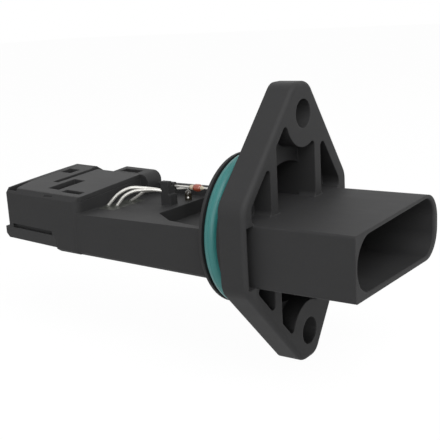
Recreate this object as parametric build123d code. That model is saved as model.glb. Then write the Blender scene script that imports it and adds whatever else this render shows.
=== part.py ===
"""Mass airflow sensor: a plug-in probe on a two-bolt flange with a socket for the loom plug.

X runs along the probe, out through the socket. Z runs along the line of the two bolts.
The origin is the centre of the boss on the flange's seating face. Millimetres throughout.
"""
from build123d import *
from math import radians, tan
import os

os.makedirs("parts", exist_ok=True)

# Driving dimensions of the flange
flange_thickness = 6.4
flange_near_width = 24.2
flange_far_width = 20.9
flange_flat_half_height = 7.0
flange_side_radius = 5.0
flange_front_round = 1.2
bolt_spacing = 50.0
bolt_line_rise = 1.7
bolt_line_y = 0.8
bolt_hole_diameter = 6.4
ear_wall = 3.7
ear_boss_wall = 4.1
ear_corner_radius = 4.0
ear_flat_width = 2.5
pocket_floor = 2.0
pocket_wall = 2.3
pocket_far_extra = 1.7
pocket_near_limit = 21.4
pocket_round = 1.1
rib_thickness = 2.6
rib_near_y = -12.3
rib_far_y = 6.8
core_wall = 1.5
core_depth = 4.4
side_slot_height = 13.2
side_slot_wall = 0.8

# Socket for the loom plug
socket_length = 22.7
socket_half_width = 21.0
socket_near_half_height = 6.8
socket_far_half_height = 7.5
socket_near_radius = 0.5
socket_far_radius = 6.5
socket_wall = 0.9
socket_far_wall = 2.0
socket_floor = 1.6
socket_lead_in = 0.3

# Boss, seal groove and seal
boss_radius = 17.6
boss_length = 10.2
groove_from_rim = 0.7
seal_section_radius = 1.8
seal_stand_out = 0.4
seal_side_clearance = 0.2
seal_floor_clearance = 0.1

# Probe body
probe_length = 72.7
body_half_width = 15.7
body_top = 3.0
body_root_depth = 8.4
underside_slope = 0.026
underside_bevel = 0.7
ledge_width = 1.3
far_wall_y = 12.5
far_wall_thickness = 1.5
far_wall_top = 5.7

# End block that holds the measuring channel
block_length = 24.7
block_half_width = 16.0
tip_bulge = 0.6
block_top = 8.8
top_rise_across = 0.065
top_fall_along = 0.035
block_far_top_y = 10.9
block_far_shoulder = 6.2
block_edge_bevel = 1.1
block_corner_round = 2.2
block_wall = 1.3
split_at_tip = 2.4
split_slope = 0.055
base_length = 16.7
base_step_bevel = 0.6
lip_reach = 1.5
lip_thickness = 2.9
lip_chamfer = 1.0
shadow_groove = 1.1
shadow_groove_depth = 0.8
shadow_groove_inset = 1.3
tip_wedge_rim = 0.4
tip_wedge_width = 2.9
tip_wedge_waist = 1.8
tip_wedge_waist_y = -13.1
tip_wedge_end_y = -6.2
tip_wedge_side = 0.6
tip_wedge_depth = 2.4

# Raised block on the far side and the notch beside it
hump_length = 11.9
hump_overhang = 2.7
hump_near_y = 8.5
hump_far_y = 14.0
hump_round = 2.4
notch_from_tip = 7.2
notch_level = 7.6

# Cover over the end block
cover_thickness = 1.2
cover_clearance = 0.06
cover_far_wall = 0.9
slot_skew = 2.0
slot_size = (4.0, 9.4)
slot_place = (12.9, -6.8)
groove_size = (1.9, 15.6)
groove_place = (8.5, 1.6)
near_window_size = (6.2, 2.1)
near_window_place = (19.8, -11.7)
tip_window_size = (3.8, 3.8)
tip_window_place = (3.6, 4.1)
hump_window_size = (6.0, 2.7)
hump_window_place = (20.1, 10.7)
window_depth = 3.2
edge_notch_from_tip = 14.7
edge_notch_length = 3.0
edge_notch_depth = 0.8

# Measuring channel
channel_width = 9.0
channel_from_tip = 11.2
channel_roof = 2.4
channel_floor = -4.0
channel_end_y = -12.5

# Recess where the temperature sensor hangs, beside the boss
recess_length = 19.3
recess_floor = -0.5
recess_corner_y = -7.0
recess_waist = (12.3, -12.0)

# Circuit chamber, open to the underside
chamber_end_wall = 1.5
chamber_root_wall = 3.3
chamber_half_width = 12.5
chamber_low_roof = -1.7
chamber_high_roof = 1.2
chamber_step_wall = 1.5
cover_plate_thickness = 1.2
cover_plate_ledge = 0.8

# Terminals
terminal_count = 5
terminal_pitch = 4.4
terminal_width = 2.3
terminal_thickness = 0.8
terminal_reach = 9.0
terminal_leg_x = -8.2
terminal_tail_z = -3.1
terminal_tail_end = -17.5

# Circuit
plate_thickness = 1.2
plate_side_gap = 1.0
plate_root_gap = 6.5
substrate_thickness = 0.6
substrate_margin = 1.0
chip_size = (5.0, 5.0, 1.0)
capacitor_size = (2.0, 1.25, 0.9)
capacitor_margin = (4.0, 3.4)
carrier_thickness = 0.6
carrier_width = 6.0
carrier_y = 2.0
carrier_seat = 12.5
carrier_overhang = 1.5
sensing_chip_size = (3.0, 3.0, 0.5)
bond_wire_radius = 0.15
bond_wire_sag = 1.0
bond_wire_bend = 0.5
bond_wire_setback = 1.0

# Leads and the compound that they stand in, with places measured from the end wall.
# A lead's bends are given as the share of its run and the height above the probe's top.
# A lead's entry is its place across the clip's wall, from the wall's middle, and its height.
lead_radius = 0.40
lead_bases = ((0.5, -6.2), (3.0, -5.6), (1.5, 1.0))
lead_bends = (
    ((0.21, 3.05), (0.42, 4.70), (0.76, 4.10)),
    ((0.21, 2.70), (0.41, 3.90), (0.76, 4.10)),
    ((0.27, 1.40), (0.43, 2.85), (0.69, 3.20)),
)
lead_entries = ((0.1, 6.3), (-1.1, 6.6), (1.1, 6.3))
lead_root_depth = 0.6
lead_grip = 0.6
bend_share = 0.45
compound_depth = 0.8
compound_margin = (0.3, 2.6)

# Clip
clip_place = (13.7, 0.0)
clip_base_size = (3.0, 2.4)
clip_base_top = 5.9
clip_wall_size = (2.4, 3.4)
clip_wall_top = 7.9
clip_post_width = 1.4
clip_near_post_top = 9.1
clip_far_post_top = 8.5

# Air temperature sensor and the joint beside it, with places measured from the clip's tip side
joint_lead_y = 0.6
joint_lead_z = 7.1
joint_place = (2.55, 7.8)
joint_radius = 0.9
joint_height = 2.5
sensor_y = 2.9
sensor_z = 7.6
bead_place = 9.35
bead_radius = 0.95
bead_length = 2.7
collar_overlap = 0.5
collar_radius = 0.65
collar_length = 1.6
thermistor_lead_radius = 0.28

# Sizes worked out from the ones above, and the reach of shapes that cut others
ear_radius = bolt_hole_diameter / 2 + ear_wall
ear_boss_radius = bolt_hole_diameter / 2 + ear_boss_wall
core_radius = boss_radius - core_wall
mouth_x = flange_thickness + socket_length
socket_floor_x = flange_thickness + socket_floor
seal_centre_radius = boss_radius + seal_stand_out - seal_section_radius
seal_floor_radius = seal_centre_radius - seal_section_radius - seal_floor_clearance
groove_width = 2 * (seal_section_radius + seal_side_clearance)
seal_x = -boss_length + groove_from_rim + groove_width / 2
bolt_heights = [bolt_line_rise + side * bolt_spacing / 2 for side in (1, -1)]
tip_x = -probe_length
end_wall_x = tip_x + block_length
base_step_x = tip_x + base_length
hump_end_x = end_wall_x + hump_overhang
hump_start_x = hump_end_x - hump_length
notch_start_x = tip_x + notch_from_tip
channel_x = tip_x + channel_from_tip
recess_x = -boss_length - recess_length
chamber_tip_x = end_wall_x + chamber_end_wall
chamber_root_x = -boss_length - chamber_root_wall
chamber_step_x = recess_x - chamber_step_wall
plate_top = chamber_low_roof
plate_bottom = plate_top - plate_thickness
plate_tip_x = chamber_tip_x + plate_side_gap
plate_root_x = chamber_root_x - plate_root_gap
substrate_bottom = plate_bottom - substrate_thickness
substrate_x = (plate_tip_x + substrate_margin, plate_root_x - substrate_margin)
substrate_half_width = chamber_half_width - plate_side_gap - 2 * substrate_margin
clip_x = end_wall_x + clip_place[0]
clip_y = clip_place[1]
bead_x = clip_x + bead_place
collar_x = bead_x - (bead_length + collar_length) / 2 + collar_overlap
joint_x = clip_x + joint_place[0]
joint_y = joint_place[1]
# These take a cutting shape clear of what it cuts, and move no surface of the part
reach = 2 * (probe_length + mouth_x)
cut_height = 2 * boss_radius
overshoot = 1.0
# These pick edges by their place and direction
edge_tolerance = 0.1
straight_share = 0.9


def block(x_span, y_span, z_span):
    """A box between two positions along each axis."""
    spans = (x_span, y_span, z_span)
    middle = [(low + high) / 2 for low, high in spans]
    size = [abs(high - low) for low, high in spans]
    return Pos(*middle) * Box(*size)


def along_x(outline, x_from, x_to):
    """An outline drawn across the probe, with Y and Z as its two directions, run along X."""
    return extrude(Plane.YZ.offset(x_from) * outline, x_to - x_from)


def along_y(outline, y_from, y_to):
    """A side view outline, with X and Z as its two directions, run along Y."""
    return extrude(Plane.XZ.offset(-y_to) * outline, y_to - y_from)


def along_z(outline, z_from, z_to):
    """A plan outline, with X and Y as its two directions, run along Z."""
    return extrude(Plane.XY.offset(z_from) * outline, z_to - z_from)


def polygon(*points):
    """A flat face with straight sides."""
    return make_face(Polyline(*points, close=True))


def hull_of(*circles):
    """The outline that wraps round circles, each given as its centre and radius."""
    drawn = [Pos(across, up) * Circle(radius) for across, up, radius in circles]
    return make_hull([edge for circle in drawn for edge in circle.edges()])


def underside_at(x, raised=0.0):
    """Height of the probe's sloping underside at one place along it."""
    return -body_root_depth - underside_slope * (x + boss_length) + raised


def split_at(x):
    """Height of the joint between the end block and the plate below it."""
    return -split_at_tip - split_slope * (x - tip_x)


def top_at(x, y, sunk=0.0):
    """Height of the end block's tilted top."""
    return block_top + top_rise_across * y - top_fall_along * (x - tip_x) - sunk


def tilted_block(x_span, y_span, z_bottom, sunk=0.0):
    """A block whose top follows the end block's tilted top, lowered by sunk."""
    (y_low, y_high) = y_span
    sections = []
    for x in x_span:
        corners = (
            (y_low, z_bottom),
            (y_high, z_bottom),
            (y_high, top_at(x, y_high, sunk)),
            (y_low, top_at(x, y_low, sunk)),
        )
        sections.append(Plane.YZ.offset(x) * polygon(*corners))
    return loft(sections, ruled=True)


# Flange

def flange_outline():
    circles = []
    for up, bolt_height in zip((1, -1), bolt_heights):
        ear_height = bolt_height + up * (ear_radius - ear_corner_radius)
        for across in (1, -1):
            circles.append((bolt_line_y + across * ear_flat_width / 2, ear_height, ear_corner_radius))
        height = bolt_line_rise + up * flange_flat_half_height
        circles.append((flange_side_radius - flange_near_width, height, flange_side_radius))
        circles.append((flange_far_width - flange_side_radius, height, flange_side_radius))
    return hull_of(*circles)


def flange_pockets():
    """Hollows in the flange's front, with rounded corners."""
    inner = offset(flange_outline(), -pocket_wall)
    region = inner & Pos(-pocket_far_extra, 0) * inner
    region &= Pos(reach - pocket_near_limit, 0) * Rectangle(2 * reach, 2 * reach)
    for height in bolt_heights:
        region -= Pos(bolt_line_y, height) * Circle(ear_boss_radius)
    for rib_y in (rib_near_y, rib_far_y):
        region -= Pos(rib_y, 0) * Rectangle(rib_thickness, reach)
    region -= socket_outline() + Rectangle(reach, 2 * socket_near_half_height)
    region = offset(offset(region, -pocket_round), pocket_round)
    return along_x(region, pocket_floor, flange_thickness)


def pocket_core():
    """The middle pockets' deeper part, which runs into the boss between the ribs."""
    between_ribs = rib_far_y - rib_near_y - rib_thickness
    region = Circle(core_radius) & Pos((rib_near_y + rib_far_y) / 2, 0) * Rectangle(between_ribs, reach)
    region -= socket_outline()
    return along_x(region, -core_depth, pocket_floor)


def side_slot():
    """Narrow slot between the flange's near rim and the socket."""
    y_span = (side_slot_wall - flange_near_width, -socket_half_width)
    height = side_slot_height / 2
    return block((pocket_floor, flange_thickness + overshoot), y_span, (-height, height))


def flange():
    plate = along_x(flange_outline(), 0, flange_thickness)
    front_edges = plate.faces().sort_by(Axis.X)[-1].outer_wire().edges()
    plate = fillet(front_edges, flange_front_round)
    plate -= flange_pockets()
    plate -= side_slot()
    for height in bolt_heights:
        hole = Pos(bolt_line_y, height) * Circle(bolt_hole_diameter / 2)
        plate -= along_x(hole, -overshoot, flange_thickness + overshoot)
    return plate


# Socket

def socket_outline():
    near_y = -socket_half_width + socket_near_radius
    far_y = socket_half_width - socket_far_radius
    circles = []
    for up in (1, -1):
        circles.append((near_y, up * (socket_near_half_height - socket_near_radius), socket_near_radius))
        circles.append((far_y, up * (socket_far_half_height - socket_far_radius), socket_far_radius))
    return hull_of(*circles)


def socket_cavity_outline():
    near_radius = socket_near_half_height - socket_wall
    near_y = -socket_half_width + socket_wall + near_radius
    far_radius = socket_far_radius - socket_far_wall
    far_y = socket_half_width - socket_far_wall - far_radius
    far_z = socket_far_half_height - socket_wall - far_radius
    circles = [(near_y, 0, near_radius)]
    for up in (1, -1):
        circles.append((far_y, up * far_z, far_radius))
    return hull_of(*circles)


def socket():
    shell = along_x(socket_outline(), pocket_floor, mouth_x)
    shell -= along_x(socket_cavity_outline(), socket_floor_x, mouth_x)
    mouth_face = shell.faces().sort_by(Axis.X)[-1]
    return chamfer(mouth_face.inner_wires()[0].edges(), socket_lead_in)


# Boss and seal

def boss():
    cylinder = along_x(Circle(boss_radius), -boss_length, 0)
    groove_start = -boss_length + groove_from_rim
    ring = Circle(boss_radius + overshoot) - Circle(seal_floor_radius)
    return cylinder - along_x(ring, groove_start, groove_start + groove_width)


def seal():
    return Pos(seal_x, 0, 0) * Rot(0, 90, 0) * Torus(seal_centre_radius, seal_section_radius)


# Probe

def probe_body():
    root_x = -boss_length + groove_from_rim
    outline = polygon(
        (root_x, body_top),
        (end_wall_x - block_wall, body_top),
        (base_step_x, body_top),
        (base_step_x, underside_at(base_step_x)),
        (root_x, underside_at(root_x)),
    )
    body = along_y(outline, -body_half_width, body_half_width)
    low_edges = body.faces().sort_by(Axis.Z)[0].edges()
    long_edges = [edge for edge in low_edges if abs(edge.tangent_at(0).X) > straight_share]
    body = chamfer(long_edges, underside_bevel)
    far_wall = block(
        (end_wall_x, root_x),
        (far_wall_y, far_wall_y + far_wall_thickness),
        (0, far_wall_top),
    )
    return body + far_wall


def block_plan(grown=0.0):
    """Plan of the end block, with a bowed tip and a rounded corner at the end wall."""
    near = (tip_x - grown, -block_half_width)
    far = (tip_x - grown, block_half_width)
    bow = ThreePointArc(near, (tip_x - tip_bulge - grown, 0), far)
    sides = Polyline(far, (end_wall_x, block_half_width), (end_wall_x, -block_half_width), near)
    plan = make_face(bow + sides)
    corner = max(plan.vertices(), key=lambda vertex: vertex.X - vertex.Y)
    return fillet(corner, block_corner_round)


def end_block():
    sections = []
    for x in (tip_x - tip_bulge - overshoot, end_wall_x):
        corners = (
            (-block_half_width, underside_at(x, underside_bevel)),
            (underside_bevel - block_half_width, underside_at(x)),
            (block_half_width - underside_bevel, underside_at(x)),
            (block_half_width, underside_at(x, underside_bevel)),
            (block_half_width, block_far_shoulder),
            (block_far_top_y, top_at(x, block_far_top_y)),
            (block_edge_bevel - block_half_width, top_at(x, block_edge_bevel - block_half_width)),
            (-block_half_width, top_at(x, -block_half_width, block_edge_bevel)),
        )
        sections.append(Plane.YZ.offset(x) * polygon(*corners))
    whole = loft(sections, ruled=True) & along_z(block_plan(), -cut_height, cut_height)
    below_split = polygon(
        (-reach, split_at(-reach)),
        (base_step_x, split_at(base_step_x)),
        (base_step_x, -reach),
        (-reach, -reach),
    )
    return whole - along_y(below_split, -reach, reach)


def step_corner():
    """The slanted corner where the underside drops behind the plate."""
    level = underside_at(base_step_x)
    outline = polygon(
        (base_step_x - overshoot, level - overshoot),
        (base_step_x + base_step_bevel + overshoot, level - overshoot),
        (base_step_x - overshoot, level + base_step_bevel + overshoot),
    )
    return along_y(outline, -reach, reach)


def tip_wedge():
    """Dark wedge-shaped recess in the top, at the tip's near corner."""
    rim_x = tip_x + tip_wedge_rim
    side_y = tip_wedge_side - block_half_width
    plan = polygon(
        (rim_x, side_y),
        (rim_x + tip_wedge_width, side_y),
        (rim_x + tip_wedge_waist, tip_wedge_waist_y),
        (rim_x, tip_wedge_end_y),
    )
    return along_z(plan, top_at(tip_x, -block_half_width) - tip_wedge_depth, cut_height)


def hump():
    whole = tilted_block((hump_start_x, hump_end_x), (hump_near_y, hump_far_y), 0)
    end_edges = [
        edge for edge in whole.edges()
        if edge.center().X > hump_end_x - edge_tolerance and edge.center().Z > far_wall_top
        and abs(edge.tangent_at(0).Y) > straight_share
    ]
    return fillet(end_edges, hump_round)


def clip():
    """A block on the probe that grips the leads, with two posts."""
    (base_length_x, base_width) = clip_base_size
    (wall_length, wall_width) = clip_wall_size
    far_y = clip_y + wall_width
    base = block((clip_x, clip_x + base_length_x), (clip_y, clip_y + base_width), (0, clip_base_top))
    wall_x = (clip_x, clip_x + wall_length)
    wall = block(wall_x, (clip_y, far_y), (0, clip_wall_top))
    near_post = block(wall_x, (clip_y, clip_y + clip_post_width), (0, clip_near_post_top))
    far_post = block(wall_x, (far_y - clip_post_width, far_y), (0, clip_far_post_top))
    return base + wall + near_post + far_post


# Hollows of the housing

def cover_space(clearance=0.0):
    """Room for the cover, or the cover's own blank when the clearance is nothing."""
    far_y = block_far_top_y - cover_far_wall
    plan = polygon(
        (tip_x + block_wall - clearance, -block_half_width + block_wall - clearance),
        (end_wall_x + clearance, -block_half_width + block_wall - clearance),
        (end_wall_x + clearance, hump_near_y - cover_clearance + clearance),
        (notch_start_x + clearance, hump_near_y - cover_clearance + clearance),
        (notch_start_x + clearance, far_y + clearance),
        (tip_x + block_wall - clearance, far_y + clearance),
    )
    if not clearance:
        plan &= block_plan()
    return along_z(plan, 0, cut_height)


def cover_blank(clearance=0.0):
    """The plate between the tilted top and its lower face, or the room for it."""
    spans = ((tip_x - overshoot, end_wall_x + overshoot), (-block_half_width, block_half_width))
    raised = overshoot if clearance else 0.0
    above = tilted_block(*spans, 0, -raised)
    slab = above - tilted_block(*spans, -overshoot, cover_thickness)
    return slab & cover_space(clearance)


def rectangle_at(place, size, turn=0.0):
    """A rectangle in plan, whose place is its distance from the tip and its Y."""
    (from_tip, y) = place
    return Pos(tip_x + from_tip, y) * Rot(0, 0, turn) * Rectangle(*size)


def cover_windows():
    windows = rectangle_at(near_window_place, near_window_size)
    windows += rectangle_at(tip_window_place, tip_window_size)
    windows += rectangle_at(groove_place, groove_size, -slot_skew)
    return windows


def outlet_slot():
    return rectangle_at(slot_place, slot_size, -slot_skew)


def channel():
    x_span = (channel_x - channel_width / 2, channel_x + channel_width / 2)
    return block(x_span, (channel_end_y, block_half_width + overshoot), (channel_floor, channel_roof))


def chamber():
    y_span = (-chamber_half_width, chamber_half_width)
    low = block((chamber_tip_x, chamber_root_x), y_span, (-cut_height, chamber_low_roof))
    high = block((chamber_tip_x, chamber_step_x), y_span, (chamber_low_roof - overshoot, chamber_high_roof))
    return low + high


def underside_plate(margin=0.0):
    """The sloping plate that closes the chamber."""
    x_tip = chamber_tip_x - cover_plate_ledge - margin
    x_root = chamber_root_x + cover_plate_ledge + margin
    half_width = chamber_half_width + cover_plate_ledge + margin
    outline = polygon(
        (x_tip, underside_at(x_tip)),
        (x_root, underside_at(x_root)),
        (x_root, underside_at(x_root, cover_plate_thickness + margin)),
        (x_tip, underside_at(x_tip, cover_plate_thickness + margin)),
    )
    return along_y(outline, -half_width, half_width)


def temperature_recess():
    near_y = -body_half_width + ledge_width
    (waist_from_boss, waist_y) = recess_waist
    plan = polygon(
        (recess_x, far_wall_y),
        (recess_x, recess_corner_y),
        (-boss_length - waist_from_boss, waist_y),
        (-boss_length, near_y),
        (-boss_length, far_wall_y),
    )
    return along_z(plan, recess_floor, cut_height)


def compound_space():
    (wall_gap, around) = compound_margin
    x_high = end_wall_x + max(x for x, _ in lead_bases) + around
    y_low = min(y for _, y in lead_bases) - around
    y_high = max(y for _, y in lead_bases) + around
    return block((end_wall_x + wall_gap, x_high), (y_low, y_high), (body_top - compound_depth, body_top))


def shadow_line():
    """Dark line between the end block's near side and the plate below it."""
    x_span = (tip_x + shadow_groove_inset, base_step_x - shadow_groove_inset)
    outline = polygon(
        (x_span[0], split_at(x_span[0])),
        (x_span[1], split_at(x_span[1])),
        (x_span[1], split_at(x_span[1]) + shadow_groove),
        (x_span[0], split_at(x_span[0]) + shadow_groove),
    )
    return along_y(outline, -block_half_width - overshoot, -block_half_width + shadow_groove_depth)


def edge_notch():
    edge_notch_x = tip_x + edge_notch_from_tip
    x_span = (edge_notch_x - edge_notch_length / 2, edge_notch_x + edge_notch_length / 2)
    z_low = top_at(edge_notch_x, -block_half_width) - edge_notch_depth
    y_span = (-block_half_width - overshoot, -block_half_width + edge_notch_depth)
    return block(x_span, y_span, (z_low, z_low + 2 * edge_notch_depth))


def far_notch():
    return block((notch_start_x, hump_start_x), (hump_near_y, reach), (notch_level, reach))


# Terminals

def terminal(y):
    half = terminal_thickness / 2
    leg_x = (terminal_leg_x - half, terminal_leg_x + half)
    blade_tip = socket_floor_x + terminal_reach
    y_span = (y - terminal_width / 2, y + terminal_width / 2)
    shape = block((leg_x[0], blade_tip), y_span, (-half, half))
    tip_edges = shape.faces().sort_by(Axis.X)[-1].edges()
    shape = chamfer(tip_edges, half / 2)
    shape += block(leg_x, y_span, (terminal_tail_z - half, half))
    shape += block((terminal_tail_end, leg_x[1]), y_span, (terminal_tail_z - half, terminal_tail_z + half))
    return shape


def terminal_rows():
    first = -terminal_pitch * (terminal_count - 1) / 2
    return [first + terminal_pitch * number for number in range(terminal_count)]


# Circuit

def base_plate():
    half_width = chamber_half_width - plate_side_gap
    return block((plate_tip_x, plate_root_x), (-half_width, half_width), (plate_bottom, plate_top))


def substrate():
    y_span = (-substrate_half_width, substrate_half_width)
    return block(substrate_x, y_span, (substrate_bottom, plate_bottom))


def on_substrate(place, size):
    """A block hung below the substrate."""
    (length, width, height) = size
    centre_z = substrate_bottom - height / 2
    return Pos(place[0], place[1], centre_z) * Box(length, width, height)


def capacitor_places():
    (end_margin, side_margin) = capacitor_margin
    y = substrate_half_width - side_margin
    ends = (substrate_x[0] + end_margin, substrate_x[1] - end_margin)
    return [(x, side * y) for x in ends for side in (1, -1)]


def sensor_carrier():
    x_span = (channel_x - carrier_overhang, chamber_tip_x + carrier_seat)
    y_span = (carrier_y - carrier_width / 2, carrier_y + carrier_width / 2)
    return block(x_span, y_span, (plate_top, plate_top + carrier_thickness))


def sensing_chip():
    (length, width, height) = sensing_chip_size
    centre_z = plate_top + carrier_thickness + height / 2
    return Pos(channel_x, carrier_y, centre_z) * Box(length, width, height)


def wire(points, radius, bend):
    """A round wire along straight runs joined by arcs."""
    path = FilletPolyline(*points, radius=bend)
    start = Plane(origin=path @ 0, z_dir=path % 0)
    return sweep(start * Circle(radius), path=path)


def smooth_wire(points, radius):
    """A round wire whose bends are as wide as its straight runs allow."""
    corners = [Vector(*point) for point in points]
    bends = []
    for before, corner, after in zip(corners, corners[1:], corners[2:]):
        turn = radians((corner - before).get_angle(after - corner))
        shorter = min((corner - before).length, (after - corner).length)
        bends.append(bend_share * shorter / tan(turn / 2))
    return wire(points, radius, bends)


def bond_wire(y):
    start_x = terminal_tail_end + bond_wire_setback
    end_x = substrate_x[1] - bond_wire_setback
    start_z = terminal_tail_z - terminal_thickness / 2
    low_z = substrate_bottom - bond_wire_sag
    points = (
        (start_x, y, start_z),
        (start_x, y, low_z),
        (end_x, y, low_z),
        (end_x, y, substrate_bottom),
    )
    return wire(points, bond_wire_radius, bond_wire_bend)


# Leads

def lead(number):
    """One lead, arching from the compound to the clip's wall."""
    (from_wall, base_y) = lead_bases[number]
    base_x = end_wall_x + from_wall
    (entry_y, entry_z) = lead_entries[number]
    end_x = clip_x + lead_grip
    end_y = clip_y + clip_wall_size[1] / 2 + entry_y
    points = [(base_x, base_y, body_top - lead_root_depth)]
    for share, rise in lead_bends[number]:
        x = base_x + (end_x - base_x) * share
        y = base_y + (end_y - base_y) * share
        points.append((x, y, body_top + rise))
    points.append((end_x, end_y, entry_z))
    return smooth_wire(points, lead_radius)


def compound(leads):
    shape = compound_space()
    for piece in leads:
        shape -= piece
    return shape


# Air temperature sensor

def rounded_rod(length, radius, far_end_flat=False):
    """A rod along Z with round ends, made in one turn about its axis."""
    low = Line((0, 0), (radius, 0))
    if not far_end_flat:
        low = RadiusArc((0, 0), (radius, radius), -radius)
    high = RadiusArc((radius, length - radius), (0, length), -radius)
    side = Line(low @ 1, high @ 0)
    axis_line = Line((0, length), (0, 0))
    outline = make_face([low, side, high, axis_line])
    return revolve(Plane.XZ * outline, Axis.Z)


def joint_lead():
    """A lead from the clip to the joint, with its end turned down into the joint."""
    points = (
        (clip_x + clip_wall_size[0] - lead_grip, clip_y + joint_lead_y, joint_lead_z),
        (joint_x, joint_y, body_top + joint_height + 2 * thermistor_lead_radius),
        (joint_x, joint_y, body_top + joint_height / 2),
    )
    return smooth_wire(points, thermistor_lead_radius)


def joint_bead():
    bead = Pos(joint_x, joint_y, body_top) * rounded_rod(joint_height, joint_radius, True)
    return bead - joint_lead()


def straight_lead(x_from, x_to):
    circle = Pos(sensor_y, sensor_z) * Circle(thermistor_lead_radius)
    return along_x(circle, x_from, x_to)


def thermistor_leads():
    clip_end = clip_x + clip_wall_size[0] - lead_grip
    inner = straight_lead(clip_end, bead_x - bead_length / 4)
    outer = straight_lead(bead_x + bead_length / 4, -boss_length + lead_grip)
    return inner, outer


def along_sensor(centre_x, length, radius):
    start = Pos(centre_x - length / 2, sensor_y, sensor_z) * Rot(0, 90, 0)
    return start * rounded_rod(length, radius)


def thermistor_bead(leads):
    bead = along_sensor(bead_x, bead_length, bead_radius)
    for piece in leads:
        bead -= piece
    return bead


def thermistor_collar(leads, bead):
    collar = along_sensor(collar_x, collar_length, collar_radius)
    for piece in leads:
        collar -= piece
    return collar - bead


# Covers and the plate under the channel

def channel_cover():
    return cover_blank() - along_z(cover_windows() + outlet_slot(), 0, cut_height) - tip_wedge()


def channel_base():
    """The plate below the end block, with a lip that stands out past the tip."""
    end_x = base_step_x - cover_clearance
    outline = polygon(
        (-reach, split_at(-reach)),
        (end_x, split_at(end_x)),
        (end_x, split_at(end_x) - lip_thickness),
        (-reach, split_at(-reach) - lip_thickness),
    )
    plate = along_y(outline, -block_half_width, block_half_width)
    plate &= along_z(block_plan(lip_reach), -cut_height, cut_height)
    tip_edges = [edge for edge in plate.edges() if edge.center().X < tip_x - lip_reach]
    plate = chamfer(ShapeList(tip_edges).sort_by(Axis.Z)[0], lip_chamfer)
    return plate - channel()


# Housing

def housing(buried):
    """The one-piece moulding, with room for the pieces moulded into it."""
    shape = flange() + socket() + boss() + probe_body() + end_block() + hump() + clip()
    shape -= far_notch()
    shape -= cover_blank(cover_clearance)
    shape -= channel()
    shape -= along_z(outlet_slot(), channel_roof - overshoot, cut_height)
    window_floor = top_at(base_step_x, 0) - cover_thickness - window_depth
    shape -= along_z(cover_windows(), window_floor, cut_height)
    shape -= along_z(rectangle_at(hump_window_place, hump_window_size), window_floor, cut_height)
    shape -= chamber() + underside_plate(cover_clearance)
    shape -= temperature_recess()
    shape -= compound_space()
    shape -= shadow_line() + edge_notch()
    shape -= pocket_core() + tip_wedge() + step_corner()
    for piece in buried:
        shape -= piece
    return shape


# Build

pieces = {}
pieces["seal_ring"] = seal()
for number, y in enumerate(terminal_rows(), start=1):
    pieces[f"terminal_{number}"] = terminal(y)
for number, y in enumerate(terminal_rows(), start=1):
    pieces[f"bond_wire_{number}"] = bond_wire(y)
leads = [lead(number) for number in range(len(lead_bases))]
for number, piece in enumerate(leads, start=1):
    pieces[f"lead_{number}"] = piece
pieces["lead_compound"] = compound(leads)
pieces["base_plate"] = base_plate()
pieces["substrate"] = substrate()
pieces["signal_chip"] = on_substrate((sum(substrate_x) / 2, 0), chip_size)
for number, place in enumerate(capacitor_places(), start=1):
    pieces[f"capacitor_{number}"] = on_substrate(place, capacitor_size)
pieces["sensor_carrier"] = sensor_carrier()
pieces["sensing_chip"] = sensing_chip()
pieces["circuit_cover"] = underside_plate()
pieces["channel_cover"] = channel_cover()
pieces["channel_base"] = channel_base()
pieces["joint_lead"] = joint_lead()
pieces["joint_bead"] = joint_bead()
(inner_lead, outer_lead) = thermistor_leads()
pieces["thermistor_lead_inner"] = inner_lead
pieces["thermistor_lead_outer"] = outer_lead
pieces["thermistor_bead"] = thermistor_bead((inner_lead, outer_lead))
pieces["thermistor_collar"] = thermistor_collar((inner_lead,), pieces["thermistor_bead"])
held = ("terminal_", "lead_", "thermistor_lead", "joint_lead", "sensor_carrier")
moulded_in = [piece for name, piece in pieces.items() if name.startswith(held)]
pieces["housing"] = housing(moulded_in)

for name, piece in pieces.items():
    export_step(piece, f"parts/{name}.step")
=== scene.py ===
"""Plug-in mass airflow sensor in Blender: its finishes, small moulded detail, studio and camera.

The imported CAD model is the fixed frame. Sizes here are in millimetres and are turned into metres
where meshes are made. +X runs along the probe and out of the socket, +Z up the bolt line.
"""
from __future__ import annotations

import logging
import math
from collections.abc import Iterable, Sequence
from dataclasses import dataclass
from enum import Enum

import bmesh
import bpy
from mathutils import Matrix, Vector

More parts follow.
